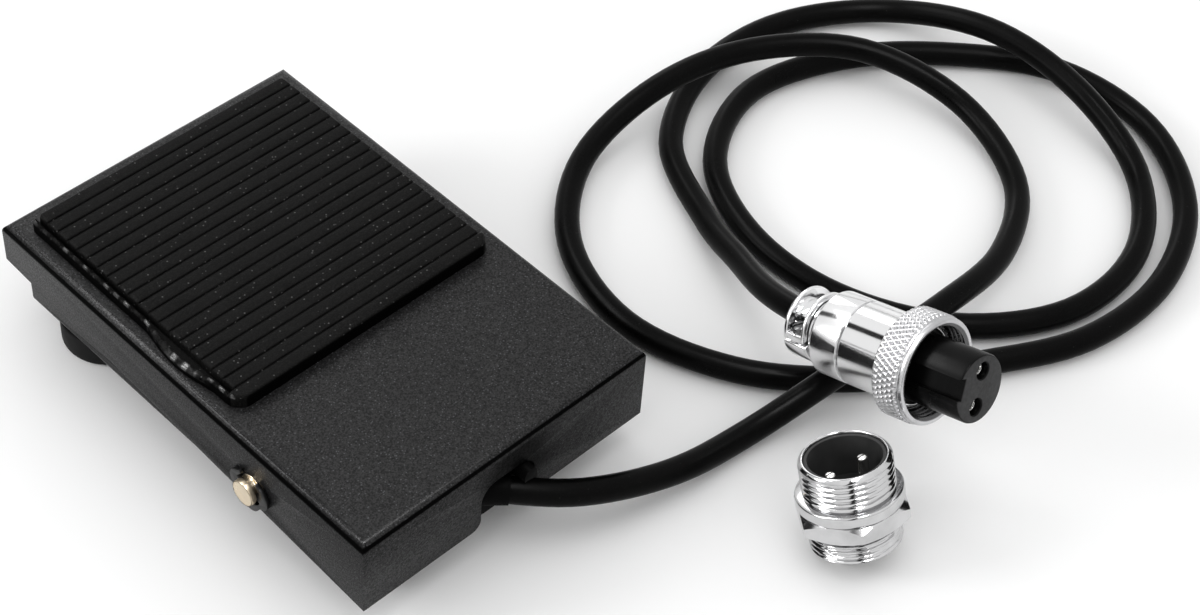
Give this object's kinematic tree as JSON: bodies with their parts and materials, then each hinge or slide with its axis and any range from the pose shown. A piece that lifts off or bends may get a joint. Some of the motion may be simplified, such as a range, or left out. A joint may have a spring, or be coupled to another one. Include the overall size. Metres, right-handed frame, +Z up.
{
  "type": "sewing machine foot pedal",
  "caption": "Low metal foot pedal with a ribbed tread pad that tilts on a cross pin to work a snap switch, with a cord ending in a round screw-ring plug and its loose panel socket.",
  "frame": {"origin": "floor point under the middle of the pedal (cover outline), cord and connectors not counted", "axes": "+Z up, +Y from the cord end toward the toe end with the tread pad, +X to the side the cord is coiled on"},
  "size_m": [0.1998, 0.1444, 0.033],
  "materials": {
    "cover_paint": "fine-textured dark charcoal powder paint",
    "tread_rubber": "matt black ribbed rubber",
    "base_paint": "dark charcoal powder paint",
    "foot_rubber": "matt black rubber",
    "zinc_steel": "zinc plated",
    "pin_brass": "bright turned",
    "black_clip": "black oxide",
    "spring_steel": "bright spring steel",
    "rivet_aluminium": "set",
    "switch_plastic": "moulded",
    "plunger_plastic": "moulded",
    "contact_copper": "bare",
    "terminal_metal": "tin plated",
    "gland_rubber": "moulded",
    "lead_pvc": "smooth insulation",
    "cord_pvc": "satin extruded jacket",
    "plug_chrome": "bright plated",
    "ring_chrome": "bright plated, knurled",
    "insert_plastic": "moulded",
    "socket_chrome": "bright plated, threaded"
  },
  "bodies": {
    "base": {"base_pan": "base_paint", "rubber_feet": "foot_rubber", "foot_screws": "zinc_steel", "foot_nuts": "zinc_steel", "pivot_pin": "pin_brass", "retaining_clips": "black_clip", "return_springs": "spring_steel", "spring_seats": "zinc_steel", "switch_bracket": "zinc_steel", "bracket_rivets": "rivet_aluminium", "switch_case": "switch_plastic", "switch_side_cover": "switch_plastic", "lever_pin": "spring_steel", "fixed_contacts": "terminal_metal", "common_terminal": "terminal_metal", "switch_screws": "zinc_steel", "cord_gland": "gland_rubber", "cord_clip": "zinc_steel", "cord_clip_screw": "zinc_steel", "inner_leads": "lead_pvc", "cord": "cord_pvc", "plug_shell": "plug_chrome", "plug_rear_shell": "plug_chrome", "plug_insert": "insert_plastic", "plug_contacts": "terminal_metal", "cable_saddle": "plug_chrome", "saddle_screws": "ring_chrome"},
    "pedal": {"cover": "cover_paint", "tread_pad": "tread_rubber", "spring_pegs": "zinc_steel", "striker_stud": "zinc_steel"},
    "lever": {"switch_lever": "spring_steel"},
    "plunger": {"switch_plunger": "plunger_plastic"},
    "blade": {"contact_blade": "contact_copper"},
    "ring": {"coupling_ring": "ring_chrome"},
    "socket": {"socket_shell": "socket_chrome", "socket_insert": "insert_plastic", "socket_pins": "terminal_metal"},
    "nut": {"socket_nut": "socket_chrome"}
  },
  "joints": [
    {"name": "pedal_tilt", "type": "hinge", "parent": "base", "child": "pedal", "pos_m": [0, -0.02, 0.0131], "axis": [-1, 0, 0], "range_deg": [0, 4.5], "stiffness_Nm_per_rad": 4, "springref_deg": -5.73, "deforming": ["return_springs"]},
    {"name": "lever_hinge", "type": "hinge", "parent": "base", "child": "lever", "pos_m": [0, -0.0118, 0.01875], "axis": [-1, 0, 0], "range_deg": [0, 7]},
    {"name": "plunger_travel", "type": "slide", "parent": "base", "child": "plunger", "axis": [0, 0, -1], "range_m": [0, 0.0009]},
    {"name": "blade_swing", "type": "hinge", "parent": "base", "child": "blade", "pos_m": [0, -0.0093, 0.0133], "axis": [-1, 0, 0], "range_deg": [0, 4]},
    {"name": "ring_spin", "type": "hinge", "parent": "base", "child": "ring", "pos_m": [0.06377, -0.08103, 0.02287], "axis": [0.0249, -0.9507, 0.309], "continuous": true},
    {"name": "socket_lift", "type": "slide", "parent": "base", "child": "socket", "axis": [0, 0, 1], "range_m": [0, 0.08]},
    {"name": "nut_spin", "type": "hinge", "parent": "socket", "child": "nut", "pos_m": [0.04184, -0.087, 0.00907], "axis": [0.051, 0.3629, 0.9304], "continuous": true}
  ],
  "couplings": [
    {"joint": "lever_hinge", "follows": "pedal_tilt", "ratio": 1.519},
    {"joint": "plunger_travel", "follows": "pedal_tilt", "m_per_rad": 0.01031},
    {"joint": "blade_swing", "follows": "pedal_tilt", "ratio": 0.75}
  ]
}
